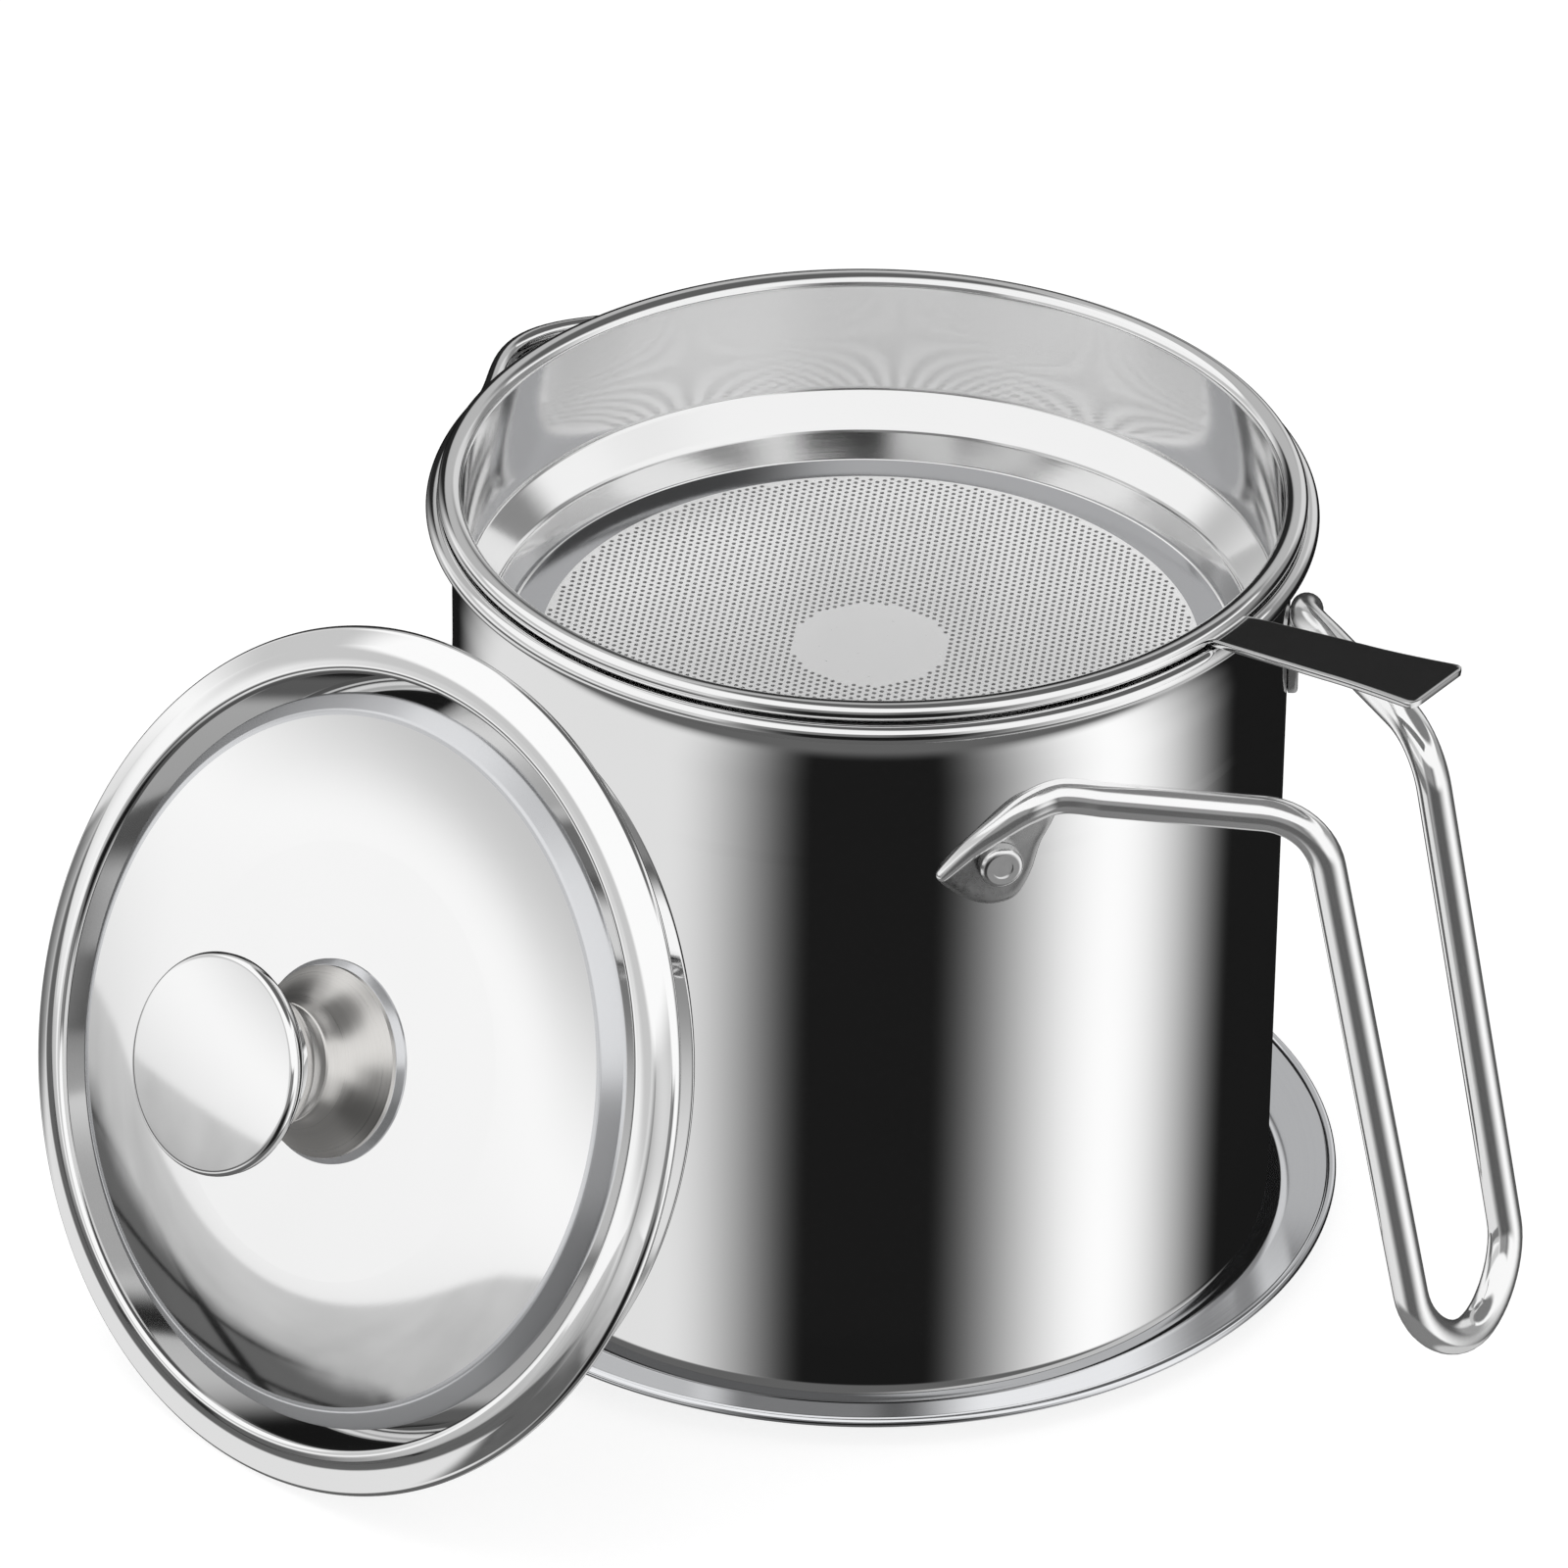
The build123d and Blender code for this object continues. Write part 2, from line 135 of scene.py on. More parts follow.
class Wire:
    """A number in a node tree. Python's signs on it add Math nodes."""

    def __init__(self, tree, socket):
        self.tree = tree
        self.socket = socket

    def math(self, operation, *others):
        node = self.tree.nodes.new("ShaderNodeMath")
        node.operation = operation
        for slot, value in zip(node.inputs, (self,) + others):
            plug(self.tree, slot, value)
        return Wire(self.tree, node.outputs[0])

    def back(self, operation, other):
        node = self.tree.nodes.new("ShaderNodeMath")
        node.operation = operation
        plug(self.tree, node.inputs[0], other)
        plug(self.tree, node.inputs[1], self)
        return Wire(self.tree, node.outputs[0])

    def __add__(self, other):
        return self.math("ADD", other)

    def __sub__(self, other):
        return self.math("SUBTRACT", other)

    def __mul__(self, other):
        return self.math("MULTIPLY", other)

    def __truediv__(self, other):
        return self.math("DIVIDE", other)

    def __radd__(self, other):
        return self.back("ADD", other)

    def __rsub__(self, other):
        return self.back("SUBTRACT", other)

    def __rmul__(self, other):
        return self.back("MULTIPLY", other)


def plug(tree, socket, value):
    if isinstance(value, Wire):
        tree.links.new(value.socket, socket)
    else:
        socket.default_value = value


class Nodes:
    """Writes nodes into one tree."""

    def __init__(self, tree):
        self.tree = tree

    def add(self, kind, settings=None, sockets=None, out=0):
        node = self.tree.nodes.new(kind)
        for key, value in (settings or {}).items():
            setattr(node, key, value)
        for key, value in (sockets or {}).items():
            plug(self.tree, node.inputs[key], value)
        return Wire(self.tree, node.outputs[out])

    def smooth(self, value, low, high):
        """0 at low, 1 at high, eased at both ends."""
        return self.add("ShaderNodeMapRange", {"interpolation_type": "SMOOTHSTEP"},
                        {0: value, 1: low, 2: high, 3: 0.0, 4: 1.0})

    def noise(self, vector, scale, detail=2.0, rough=0.5):
        return self.add("ShaderNodeTexNoise", {"noise_dimensions": "3D"},
                        {"Vector": vector, "Scale": scale, "Detail": detail, "Roughness": rough})

    def vector(self, x, y, z):
        return self.add("ShaderNodeCombineXYZ", None, {0: x, 1: y, 2: z})

    def grey(self, tone):
        return self.vector(tone, tone, tone)

    def blend(self, share, low, high):
        """low where share is 0, high where it is 1."""
        return self.add("ShaderNodeMix", {"data_type": "RGBA"}, {0: share, 6: low, 7: high}, 2)

    def dot(self, vector, direction):
        node = self.tree.nodes.new("ShaderNodeVectorMath")
        node.operation = "DOT_PRODUCT"
        plug(self.tree, node.inputs[0], vector)
        node.inputs[1].default_value = direction
        return Wire(self.tree, node.outputs["Value"])

    def shift(self, vector, offset):
        node = self.tree.nodes.new("ShaderNodeVectorMath")
        node.operation = "SUBTRACT"
        plug(self.tree, node.inputs[0], vector)
        node.inputs[1].default_value = offset
        return Wire(self.tree, node.outputs["Vector"])

    def length(self, vector):
        node = self.tree.nodes.new("ShaderNodeVectorMath")
        node.operation = "LENGTH"
        plug(self.tree, node.inputs[0], vector)
        return Wire(self.tree, node.outputs["Value"])


def steel(name, shade=0.86, roughness=0.06, centre=(0, 0, 0), axis=(0, 0, 1), turned=0.0,
          grain=0.0, smudge=0.03, tint=(1.0, 1.0, 1.0), speck=0.0, metallic=1.0):
    """Stainless steel. turned: turning lines round the axis; grain: cloudy polish; speck: fine pits."""
    material = bpy.data.materials.new(name)
    material.use_nodes = True
    tree = material.node_tree
    shader = tree.nodes["Principled BSDF"]
    make = Nodes(tree)
    spot = Wire(tree, tree.nodes.new("ShaderNodeTexCoord").outputs["Object"])
    local = make.shift(spot, centre)
    height = make.dot(local, axis)
    reach = make.length(local)
    radius = (reach * reach - height * height).math("MAXIMUM", 0.0).math("SQRT")
    rings = make.noise(make.vector(radius, height, 0.0), 2600.0, 4.0, 0.7)
    fine = make.noise(spot, 900.0, 3.0, 0.6)
    cloud = make.noise(spot, 34.0, 3.0, 0.55)
    wipe = make.noise(spot, 9.0, 2.0, 0.5)

    rough = roughness + (cloud - 0.5) * smudge + (fine - 0.5) * (0.02 + grain)
    rough = rough + (rings - 0.5) * turned * 0.3
    plug(tree, shader.inputs["Roughness"], rough.math("MAXIMUM", 0.02))

    tone = shade + (cloud - 0.5) * 0.03 + (rings - 0.5) * turned * 0.25 + (wipe - 0.5) * 0.02
    if speck:
        pits = make.noise(spot, 1500.0, 1.0, 0.5)
        tone = tone - make.smooth(pits, 0.64, 0.74) * speck
    colour = make.add("ShaderNodeMix", {"data_type": "RGBA", "blend_type": "MULTIPLY"},
                      {0: 1.0, 6: (*tint, 1.0)}, 2)
    mix = colour.socket.node
    tree.links.new(make.grey(tone).socket, mix.inputs[7])
    tree.links.new(colour.socket, shader.inputs["Base Color"])
    shader.inputs["Metallic"].default_value = metallic
    if turned or grain:
        bump = tree.nodes.new("ShaderNodeBump")
        bump.inputs["Strength"].default_value = 0.35
        bump.inputs["Distance"].default_value = 0.00004
        level = rings * turned + fine * grain
        plug(tree, bump.inputs["Height"], level)
        tree.links.new(bump.outputs["Normal"], shader.inputs["Normal"])
    return material


# ---------------------------------------------------------------- shapes

def unit(x, y):
    size = math.hypot(x, y)
    return x / size, y / size


def shifted(corners, distance):
    """A bent line of (x, y, bend) corners moved to its left, with its bends kept concentric."""
    moved = []
    last = len(corners) - 1
    for i, (x, y, bend) in enumerate(corners):
        into = unit(x - corners[i - 1][0], y - corners[i - 1][1]) if i > 0 else None
        out = unit(corners[i + 1][0] - x, corners[i + 1][1] - y) if i < last else None
        into = into or out
        out = out or into
        turn = into[0] * out[1] - into[1] * out[0]
        half = 1 + into[0] * out[0] + into[1] * out[1]
        side_x = -(into[1] + out[1]) * distance / half
        side_y = (into[0] + out[0]) * distance / half
        new_bend = bend - math.copysign(distance, turn) if bend > 0 else 0
        moved.append((x + side_x, y + side_y, max(new_bend, 0)))
    return moved


def bent_points(corners, step=12.0, hold=0.12):
    """Points along the bent line: arcs every few degrees, and a close pair at each straight's ends."""
    points = [corners[0][:2]]

    def run_to(spot):
        start = points[-1]
        size = math.dist(start, spot)
        if size < 1e-6:
            return
        if size > 4 * hold:
            for share in (hold / size, 1 - hold / size):
                points.append(tuple(start[k] + (spot[k] - start[k]) * share for k in (0, 1)))
        points.append(tuple(spot))

    for i in range(1, len(corners) - 1):
        x, y, bend = corners[i]
        into = unit(x - corners[i - 1][0], y - corners[i - 1][1])
        out = unit(corners[i + 1][0] - x, corners[i + 1][1] - y)
        angle = math.acos(max(-1, min(1, into[0] * out[0] + into[1] * out[1])))
        if bend <= 0 or angle < 1e-4:
            run_to((x, y))
            continue
        back = bend * math.tan(angle / 2)
        first = (x - into[0] * back, y - into[1] * back)
        run_to(first)
        turn = math.copysign(1, into[0] * out[1] - into[1] * out[0])
        centre = (first[0] - into[1] * bend * turn, first[1] + into[0] * bend * turn)
        start = math.atan2(first[1] - centre[1], first[0] - centre[0])
        count = max(3, math.ceil(math.degrees(angle) / step))
        for k in range(1, count + 1):
            a = start + turn * angle * k / count
            points.append((centre[0] + bend * math.cos(a), centre[1] + bend * math.sin(a)))
    run_to(corners[-1][:2])
    return points


def arc_points(centre, radius, first, last, count):
    points = []
    for k in range(count + 1):
        a = math.radians(first + (last - first) * k / count)
        points.append((centre[0] + radius * math.cos(a), centre[1] + radius * math.sin(a)))
    return points


def edit(piece):
    bpy.ops.object.select_all(action="DESELECT")
    piece.select_set(True)
    bpy.context.view_layer.objects.active = piece
    bpy.ops.object.mode_set(mode="EDIT")
    bpy.ops.mesh.select_all(action="SELECT")


def finish_edit(angle=40):
    bpy.ops.mesh.select_all(action="SELECT")
    bpy.ops.mesh.remove_doubles(threshold=2e-6)
    bpy.ops.mesh.dissolve_degenerate(threshold=1e-6)
    bpy.ops.mesh.select_all(action="SELECT")
    bpy.ops.mesh.delete_loose()
    bpy.ops.mesh.select_all(action="SELECT")
    bpy.ops.mesh.normals_make_consistent(inside=False)
    bpy.ops.object.mode_set(mode="OBJECT")
    bpy.ops.object.shade_smooth_by_angle(angle=math.radians(angle))


def turned_piece(name, outline, steps=240, angle=40, shape=None):
    """Spins a closed outline of (radius, height) points, in millimetres, all the way round Z."""
    bpy.ops.mesh.primitive_circle_add(vertices=len(outline), radius=0.01, fill_type="NOTHING")
    piece = bpy.context.object
    piece.name = name
    piece.data.name = name
    for vertex, (r, z) in zip(piece.data.vertices, outline):
        vertex.co = (r * MM, 0, z * MM)
    edit(piece)
    bpy.ops.mesh.spin(steps=steps, dupli=False, angle=2 * math.pi, center=(0, 0, 0), axis=(0, 0, 1))
    if shape:
        bpy.ops.object.mode_set(mode="OBJECT")
        for vertex in piece.data.vertices:
            vertex.co = shape(vertex.co)
        edit(piece)
    finish_edit(angle)
    return piece


def dress(piece, material, body, slot, *nodes):
    piece.data.materials.clear()
    piece.data.materials.append(material)
    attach(piece, body)
    if nodes:
        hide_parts(*nodes)
    return piece


def eased(table, at, column):
    """A smooth reading of one column of a table whose first column rises."""
    rows = list(table)
    if at <= rows[0][0]:
        return rows[0][column]
    for i in range(len(rows) - 1):
        if at <= rows[i + 1][0]:
            break
    before = rows[max(i - 1, 0)]
    low, high = rows[i], rows[i + 1]
    after = rows[min(i + 2, len(rows) - 1)]
    width = high[0] - low[0]
    t = min(max((at - low[0]) / width, 0), 1.2)
    slope_in = (high[column] - before[column]) / max(high[0] - before[0], 1e-6) * width
    slope_out = (after[column] - low[column]) / max(after[0] - low[0], 1e-6) * width
    return ((2 * t**3 - 3 * t**2 + 1) * low[column] + (t**3 - 2 * t**2 + t) * slope_in
            + (3 * t**2 - 2 * t**3) * high[column] + (t**3 - t**2) * slope_out)


# ---------------------------------------------------------------- camera, light, floor

camera_data = bpy.data.cameras.new("camera")
camera_data.lens = 269.36
camera_data.sensor_width = 36
camera_data.clip_end = 20
camera = bpy.data.objects.new("camera", camera_data)
camera.location = (0.845462, -1.163679, 0.9683)
camera.rotation_euler = (math.radians(57.94026), math.radians(-0.683888), math.radians(36.909733))
bpy.context.scene.collection.objects.link(camera)
bpy.context.scene.camera = camera
bpy.context.scene.view_settings.view_transform = "Standard"

STUDIO_SIDE = -54.0


def build_studio():
    """White all round for the eye; a dark room with lights, seen only in polished metal."""
    world = bpy.data.worlds.new("studio")
    world.use_nodes = True
    bpy.context.scene.world = world
    tree = world.node_tree
    tree.nodes.clear()
    make = Nodes(tree)
    direction = Wire(tree, tree.nodes.new("ShaderNodeTexCoord").outputs["Generated"])
    split = tree.nodes.new("ShaderNodeSeparateXYZ")
    plug(tree, split.inputs[0], direction)
    x, y, z = (Wire(tree, s) for s in split.outputs)
    side = math.radians(STUDIO_SIDE)
    ahead = x * math.cos(side) + y * math.sin(side)
    right = y * math.cos(side) - x * math.sin(side)
    bearing = right.math("ARCTAN2", ahead) / (2 * math.pi) + 0.5
    # Low in the dark room: a broad soft box on the left and a narrower strip light on the right.
    soft_box = make.smooth(bearing, 0.06, 0.16) * (1 - make.smooth(bearing, 0.34, 0.46))
    strip_light = make.smooth(bearing, 0.55, 0.7) * (1 - make.smooth(bearing, 0.7, 0.84))
    low_tone = 0.01 + soft_box * 0.75 + strip_light
    # High in the room: a wide soft box, a dim wall ahead, a window, and a narrow lamp over a grey wall.
    wide_box = make.smooth(bearing, 0.08, 0.15) * (1 - make.smooth(bearing, 0.38, 0.42))
    dim_wall = make.smooth(bearing, 0.38, 0.42) * (1 - make.smooth(bearing, 0.5, 0.55))
    window = make.smooth(bearing, 0.52, 0.6) * (1 - make.smooth(bearing, 0.7, 0.8))
    grey_wall = make.smooth(bearing, 0.7, 0.8) * (1 - make.smooth(bearing, 0.95, 1.0))
    narrow_lamp = make.smooth(bearing, 0.86, 0.9) * (1 - make.smooth(bearing, 0.95, 1.0))
    high_tone = (0.02 + wide_box * 0.95 + dim_wall * 0.2 + window * 0.98 + grey_wall * 0.25
                 + narrow_lamp * 0.45)
    upward = make.smooth(z, -0.12, 0.08)
    panorama = make.blend(upward, make.grey(low_tone), make.grey(high_tone))

    # Left of the camera the table's far edge lies low: pale stone first, then dark tiles with joints.
    turn = (bearing - 0.5) * 360.0
    level = z * 57.3 - (turn + 85.0) * 0.19
    beside = make.smooth(bearing, 0.12, 0.17) * (1 - make.smooth(bearing, 0.37, 0.41))
    cloud = make.noise(direction, 14.0, 4.0, 0.6)
    stone_tone = 0.62 + (cloud - 0.5) * 0.25 + level * 0.02
    stone = make.smooth(level, -1.9, -2.4) * (1 - make.smooth(z, -0.36, -0.44)) * beside
    panorama = make.blend(stone, panorama, make.grey(stone_tone))
    joint_row = ((level * 0.42).math("FRACT") - 0.5).math("ABSOLUTE")
    joint_column = ((turn * 0.11 + level * 0.13).math("FRACT") - 0.5).math("ABSOLUTE")
    joints = (make.smooth(joint_row.math("MINIMUM", joint_column), 0.09, 0.04)
              * make.smooth(z, -0.215, -0.195)
              * make.smooth(turn, -103.0, -99.0) * (1 - make.smooth(turn, -73.0, -69.0)))
    tile_tone = 0.12 - joints * 0.11 + (cloud - 0.5) * 0.04
    tiles = (make.smooth(z * 57.6 + (cloud - 0.5) * 1.5, -6.3, -8.4)
             * (1 - make.smooth(z, -0.34, -0.42)) * beside)
    panorama = make.blend(tiles, panorama, make.grey(tile_tone))

    below = make.smooth(z, -0.63, -0.75)
    under_left = make.smooth(make.dot(direction, (0.166, 0.483, -0.86)), 0.9, 0.95)
    floor_tone = 0.12 + under_left * 0.4
    panorama = make.blend(below, panorama, make.grey(floor_tone))
    dim = 1.0 - make.smooth(z, 0.07, 0.26) * beside * 0.4
    panorama = make.add("ShaderNodeMix", {"data_type": "RGBA", "blend_type": "MULTIPLY"},
                        {0: 1.0, 6: panorama, 7: make.grey(dim)}, 2)
    behind = make.smooth(ahead, -0.45, -0.68)
    haze = make.smooth(z, 0.42, 0.5) * behind
    panorama = make.blend(haze, panorama, (0.5, 0.5, 0.5, 1))
    roof = make.smooth(z - behind * 0.34, 0.4, 0.5)
    panorama = make.blend(roof, panorama, (1.0, 1.0, 1.0, 1))
    beam = make.smooth(make.dot(direction, (0.089, 0.357, 0.93)), 0.8, 0.9)
    panorama = make.blend(beam, panorama, (0.12, 0.12, 0.12, 1))
    path = tree.nodes.new("ShaderNodeLightPath")
    glossy = Wire(tree, path.outputs["Is Glossy Ray"])
    camera_ray = Wire(tree, path.outputs["Is Camera Ray"])
    plain = make.blend(camera_ray, (0.8, 0.8, 0.8, 1), (1, 1, 1, 1))
    chosen = make.blend(glossy, plain, panorama)
    background = tree.nodes.new("ShaderNodeBackground")
    background.inputs["Strength"].default_value = 1.0
    plug(tree, background.inputs["Color"], chosen)
    out = tree.nodes.new("ShaderNodeOutputWorld")
    tree.links.new(background.outputs[0], out.inputs["Surface"])


def build_floor():
    bpy.ops.mesh.primitive_plane_add(size=6, location=(0, 0, 0))
    floor = bpy.context.object
    floor.name = "floor"
    material = bpy.data.materials.new("white_table")
    material.use_nodes = True
    tree = material.node_tree
    tree.nodes.clear()
    path = tree.nodes.new("ShaderNodeLightPath")
    glossy_ray = Wire(tree, path.outputs["Is Glossy Ray"])
    diffuse = tree.nodes.new("ShaderNodeBsdfDiffuse")
    diffuse.inputs["Color"].default_value = (0.3, 0.3, 0.3, 1)
    glow = tree.nodes.new("ShaderNodeEmission")
    glow.inputs["Color"].default_value = (0.8, 0.8, 0.8, 1)
    body = tree.nodes.new("ShaderNodeAddShader")
    tree.links.new(diffuse.outputs[0], body.inputs[0])
    tree.links.new(glow.outputs[0], body.inputs[1])
    clear = tree.nodes.new("ShaderNodeBsdfTransparent")
    chosen = tree.nodes.new("ShaderNodeMixShader")
    plug(tree, chosen.inputs[0], glossy_ray)
    tree.links.new(body.outputs[0], chosen.inputs[1])
    tree.links.new(clear.outputs[0], chosen.inputs[2])
    out = tree.nodes.new("ShaderNodeOutputMaterial")
    tree.links.new(chosen.outputs[0], out.inputs["Surface"])
    floor.data.materials.append(material)


def soft_lamp(name, spot, aim, size, power):
    data = bpy.data.lights.new(name, "AREA")
    data.shape = "RECTANGLE"
    data.size = size[0]
    data.size_y = size[1]
    data.energy = power
    lamp = bpy.data.objects.new(name, data)
    lamp.location = spot
    lamp.rotation_euler = (Vector(aim) - Vector(spot)).to_track_quat("-Z", "Y").to_euler()
    bpy.context.scene.collection.objects.link(lamp)
    return lamp


build_studio()
build_floor()
lamp_over = soft_lamp("lamp_over", (-0.3, -0.2, 1.6), (0, 0, 0.05), (1.2, 1.2), 6.0)
lamp_over.visible_glossy = False

# ---------------------------------------------------------------- materials

tray_steel = steel("tray_polish", 0.84, 0.09, turned=0.3, tint=(0.98, 0.99, 1.015))
wall_steel = steel("pot_wall_polish", 0.96, 0.035, smudge=0.02)
rim_steel = steel("rolled_rim_polish", 0.9, 0.05, turned=0.05)
neck_steel = steel("neck_inside_satin", 0.85, 0.16, smudge=0.03, metallic=0.6)
basket_steel = steel("basket_polish", 0.88, 0.09, turned=0.12)
# Painted reflection: the sieve's flat margin ring gets a dark grey base colour (0.42) that stands in for
# the dark basket wall the polished ring would mirror.
margin_reflection_steel = steel("sieve_margin_painted_reflection", 0.42, 0.12, smudge=0.04, tint=(0.98, 0.99, 1.015))
sieve_steel = steel("sieve_sheet", 0.95, 0.3, grain=0.1, metallic=0.55)
rod_steel = steel("rod_polish", 0.95, 0.08, smudge=0.03, metallic=0.88)
leaf_steel = steel("leaf_satin", 0.5, 0.28, grain=0.35, smudge=0.1)
rivet_steel = steel("rivet_head", 0.85, 0.2, grain=0.2)
tab_steel = steel("tab_polish", 0.8, 0.07, speck=0.1)
lid_centre = tuple(v * MM for v in LEAN_SPOT)
lid_steel = steel("lid_polish", 0.96, 0.04, lid_centre, tuple(LID_AXIS), turned=0.02, smudge=0.02)
shoulder_steel = steel("lid_shoulder_polish", 0.74, 0.2, lid_centre, tuple(LID_AXIS), turned=0.02,
                       smudge=0.03, tint=(0.98, 0.99, 1.015), metallic=0.75)
# Painted shade: the lid's channel gets a darker base colour (0.64 against 0.96 on the rest of the lid) that
# stands in for the shade and self-reflection in the recess.
channel_shade_steel = steel("lid_channel_painted_shade", 0.64, 0.1, lid_centre, tuple(LID_AXIS), turned=0.05,
                      smudge=0.03)
stem_steel = steel("knob_stem_satin", 0.74, 0.3, lid_centre, tuple(LID_AXIS), turned=0.7,
                   tint=(1.0, 0.98, 0.95), metallic=0.95)
knob_steel = steel("knob_head_polish", 0.96, 0.06, lid_centre, tuple(LID_AXIS), turned=0.04)
screw_steel = steel("screw_satin", 0.66, 0.25, lid_centre, tuple(LID_AXIS), turned=0.3)

# ---------------------------------------------------------------- tray

tray_line = [
    (0.0, 0.0, 0),
    (TRAY_FLOOR_R, 0.0, 3.0),
    (TRAY_FLOOR_R + 2.2, 2.2, 3.0),
    (TRAY_R - 0.6, TRAY_LIP_Z - 1.4, 0),
]


def tray_outline():
    under = bent_points(tray_line)
    over = bent_points(shifted(tray_line, SHEET))
    roll = arc_points((TRAY_R - TRAY_BEAD, TRAY_LIP_Z - TRAY_BEAD), TRAY_BEAD, -75, 165, 16)
    return under[:-1] + roll + list(reversed(over[:-1]))


dress(turned_piece("saucer_tray", tray_outline()), tray_steel, "tray", "polished_steel", "tray")

# ---------------------------------------------------------------- pot

pot_line = [
    (0.0, 1.8, 0),
    (46.0, 1.8, 3.0),
    (49.0, 0.6, 3.0),
    (POT_R, 0.6, 3.2),
    (POT_R, POT_NECK_Z - 1.0, 0),
]


def pot_outline():
    outer = bent_points(pot_line)
    inner = bent_points(shifted(pot_line, SHEET))
    heights = [k * 0.55 for k in range(1, 40)]
    neck_out = [(POT_R + eased(NECK_TABLE, h, 1), POT_NECK_Z + h) for h in heights if h < 21.6]
    neck_in = [(POT_R - SHEET + eased(NECK_TABLE, h, 1), POT_NECK_Z + h) for h in heights if h < 22.1]
    roll = arc_points((POT_BEAD_R, POT_RIM_Z), POT_BEAD, -140, 197, 40)
    return outer + neck_out + roll + list(reversed(neck_in)) + list(reversed(inner))


def with_lip(spot):
    """Pushes the pouring lip out of the neck."""
    radius = math.hypot(spot.x, spot.y)
    above = spot.z / MM - POT_NECK_Z
    if above <= 0 or radius < 0.02:
        return spot
    share = 1.0 if above > 21.4 else max(eased(NECK_TABLE, above, 2), 0)
    width = 17.0 if above > 21.4 else eased(NECK_TABLE, above, 3)
    away = abs((math.degrees(math.atan2(spot.y, spot.x)) - LIP_ANGLE + 180) % 360 - 180)
    if away >= width:
        return spot
    swell = math.cos(math.pi / 2 * away / width) ** 2
    grown = (radius + LIP_REACH * MM * share * swell) / radius
    return Vector((spot.x * grown, spot.y * grown, spot.z))


pot = dress(turned_piece("spouted_pot", pot_outline(), 288, shape=with_lip), wall_steel, "pot",
            "polished_steel", "pot_shell")
pot.data.materials.append(rim_steel)
pot.data.materials.append(neck_steel)
for face in pot.data.polygons:
    if face.center.z > (POT_RIM_Z - 1.2) * MM:
        face.material_index = 1
    elif face.center.z > (POT_RIM_Z - 16) * MM and face.normal.xy.dot(face.center.xy) < 0:
        face.material_index = 2

# ---------------------------------------------------------------- strainer

strainer_line = [
    (50.0, 90.5, 0),
    (53.1, 90.5, 0.9),
    (54.7, 95.2, 1.6),
    (STRAINER_R, 99.6, 1.6),
    (STRAINER_R, 118.15, 1.2),
    (STRAINER_BEAD_R, 118.25, 0),
]


def basket_outline():
    under = [p for p in bent_points(strainer_line) if p[1] < 117.85]
    over = bent_points(shifted(strainer_line, STRAINER_SHEET))
    roll = arc_points((STRAINER_BEAD_R, STRAINER_RIM_Z), STRAINER_BEAD, 158 - 360, 84, 44)
    return under + roll + list(reversed(over[:-1]))


basket = dress(turned_piece("strainer_cup", basket_outline(), 288), basket_steel, "strainer",
               "polished_steel", "strainer_basket")
basket.data.materials.append(rim_steel)
for face in basket.data.polygons:
    if face.center.z > (STRAINER_RIM_Z - 1.0) * MM and math.hypot(face.center.x, face.center.y) > 0.0592:
        face.material_index = 1


def perforated_sector(name, first, last):
    """A pie slice of the sieve, cut full of small six-sided holes, as a flat sheet without thickness."""
    rows = int(SIEVE_OUT_R / SIEVE_PITCH * 1.2) + 2
    work = bmesh.new()
    flat = SIEVE_PITCH / math.sqrt(3)
    for row in range(-rows, rows + 1):
        for column in range(-rows, rows + 1):
            x = (column + 0.5 * (row % 2)) * SIEVE_PITCH
            y = row * SIEVE_PITCH * math.sqrt(3) / 2
            reach = math.hypot(x, y)
            turn = math.degrees(math.atan2(y, x)) % 360
            if not (SIEVE_ISLAND_R - 1.9 < reach < SIEVE_OUT_R + 1.9 and first <= turn < last):
                continue
            holed = SIEVE_ISLAND_R < reach < SIEVE_OUT_R
            outer = []
            inner = []
            for k in range(6):
                a = math.radians(60 * k + 30)
                outer.append(work.verts.new(((x + flat * math.cos(a)) * MM,
                                             (y + flat * math.sin(a)) * MM, SIEVE_Z * MM)))
            if not holed:
                work.faces.new(outer)
                continue
            for k in range(6):
                a = math.radians(60 * k + 30)
                inner.append(work.verts.new(((x + SIEVE_HOLE_R * math.cos(a)) * MM,
                                             (y + SIEVE_HOLE_R * math.sin(a)) * MM, SIEVE_Z * MM)))
            for k in range(6):
                n = (k + 1) % 6
                work.faces.new((outer[k], outer[n], inner[n], inner[k]))
    bmesh.ops.remove_doubles(work, verts=work.verts, dist=0.00002)
    mesh = bpy.data.meshes.new(name)
    work.to_mesh(mesh)
    work.free()
    piece = bpy.data.objects.new(name, mesh)
    bpy.context.scene.collection.objects.link(piece)
    return piece


sieve_parts = []
for k in range(4):
    part = perforated_sector(f"sieve_net_{k}", 90 * k, 90 * k + 90)
    edit(part)
    bpy.ops.mesh.normals_make_consistent(inside=False)
    bpy.ops.object.mode_set(mode="OBJECT")
    solid = part.modifiers.new("thickness", "SOLIDIFY")
    solid.thickness = SIEVE_SHEET * MM
    solid.offset = 1
    bpy.ops.object.modifier_apply(modifier=solid.name)
    sieve_parts.append(part)

OVER = 0.012


def sieve_ring(inner, outer):
    """A flat ring's outline, a hair thicker than the net whose ragged edge it covers."""
    low = SIEVE_Z - OVER
    high = SIEVE_Z + SIEVE_SHEET + OVER
    return [(inner, low), (outer, low), (outer, high), (inner, high)]


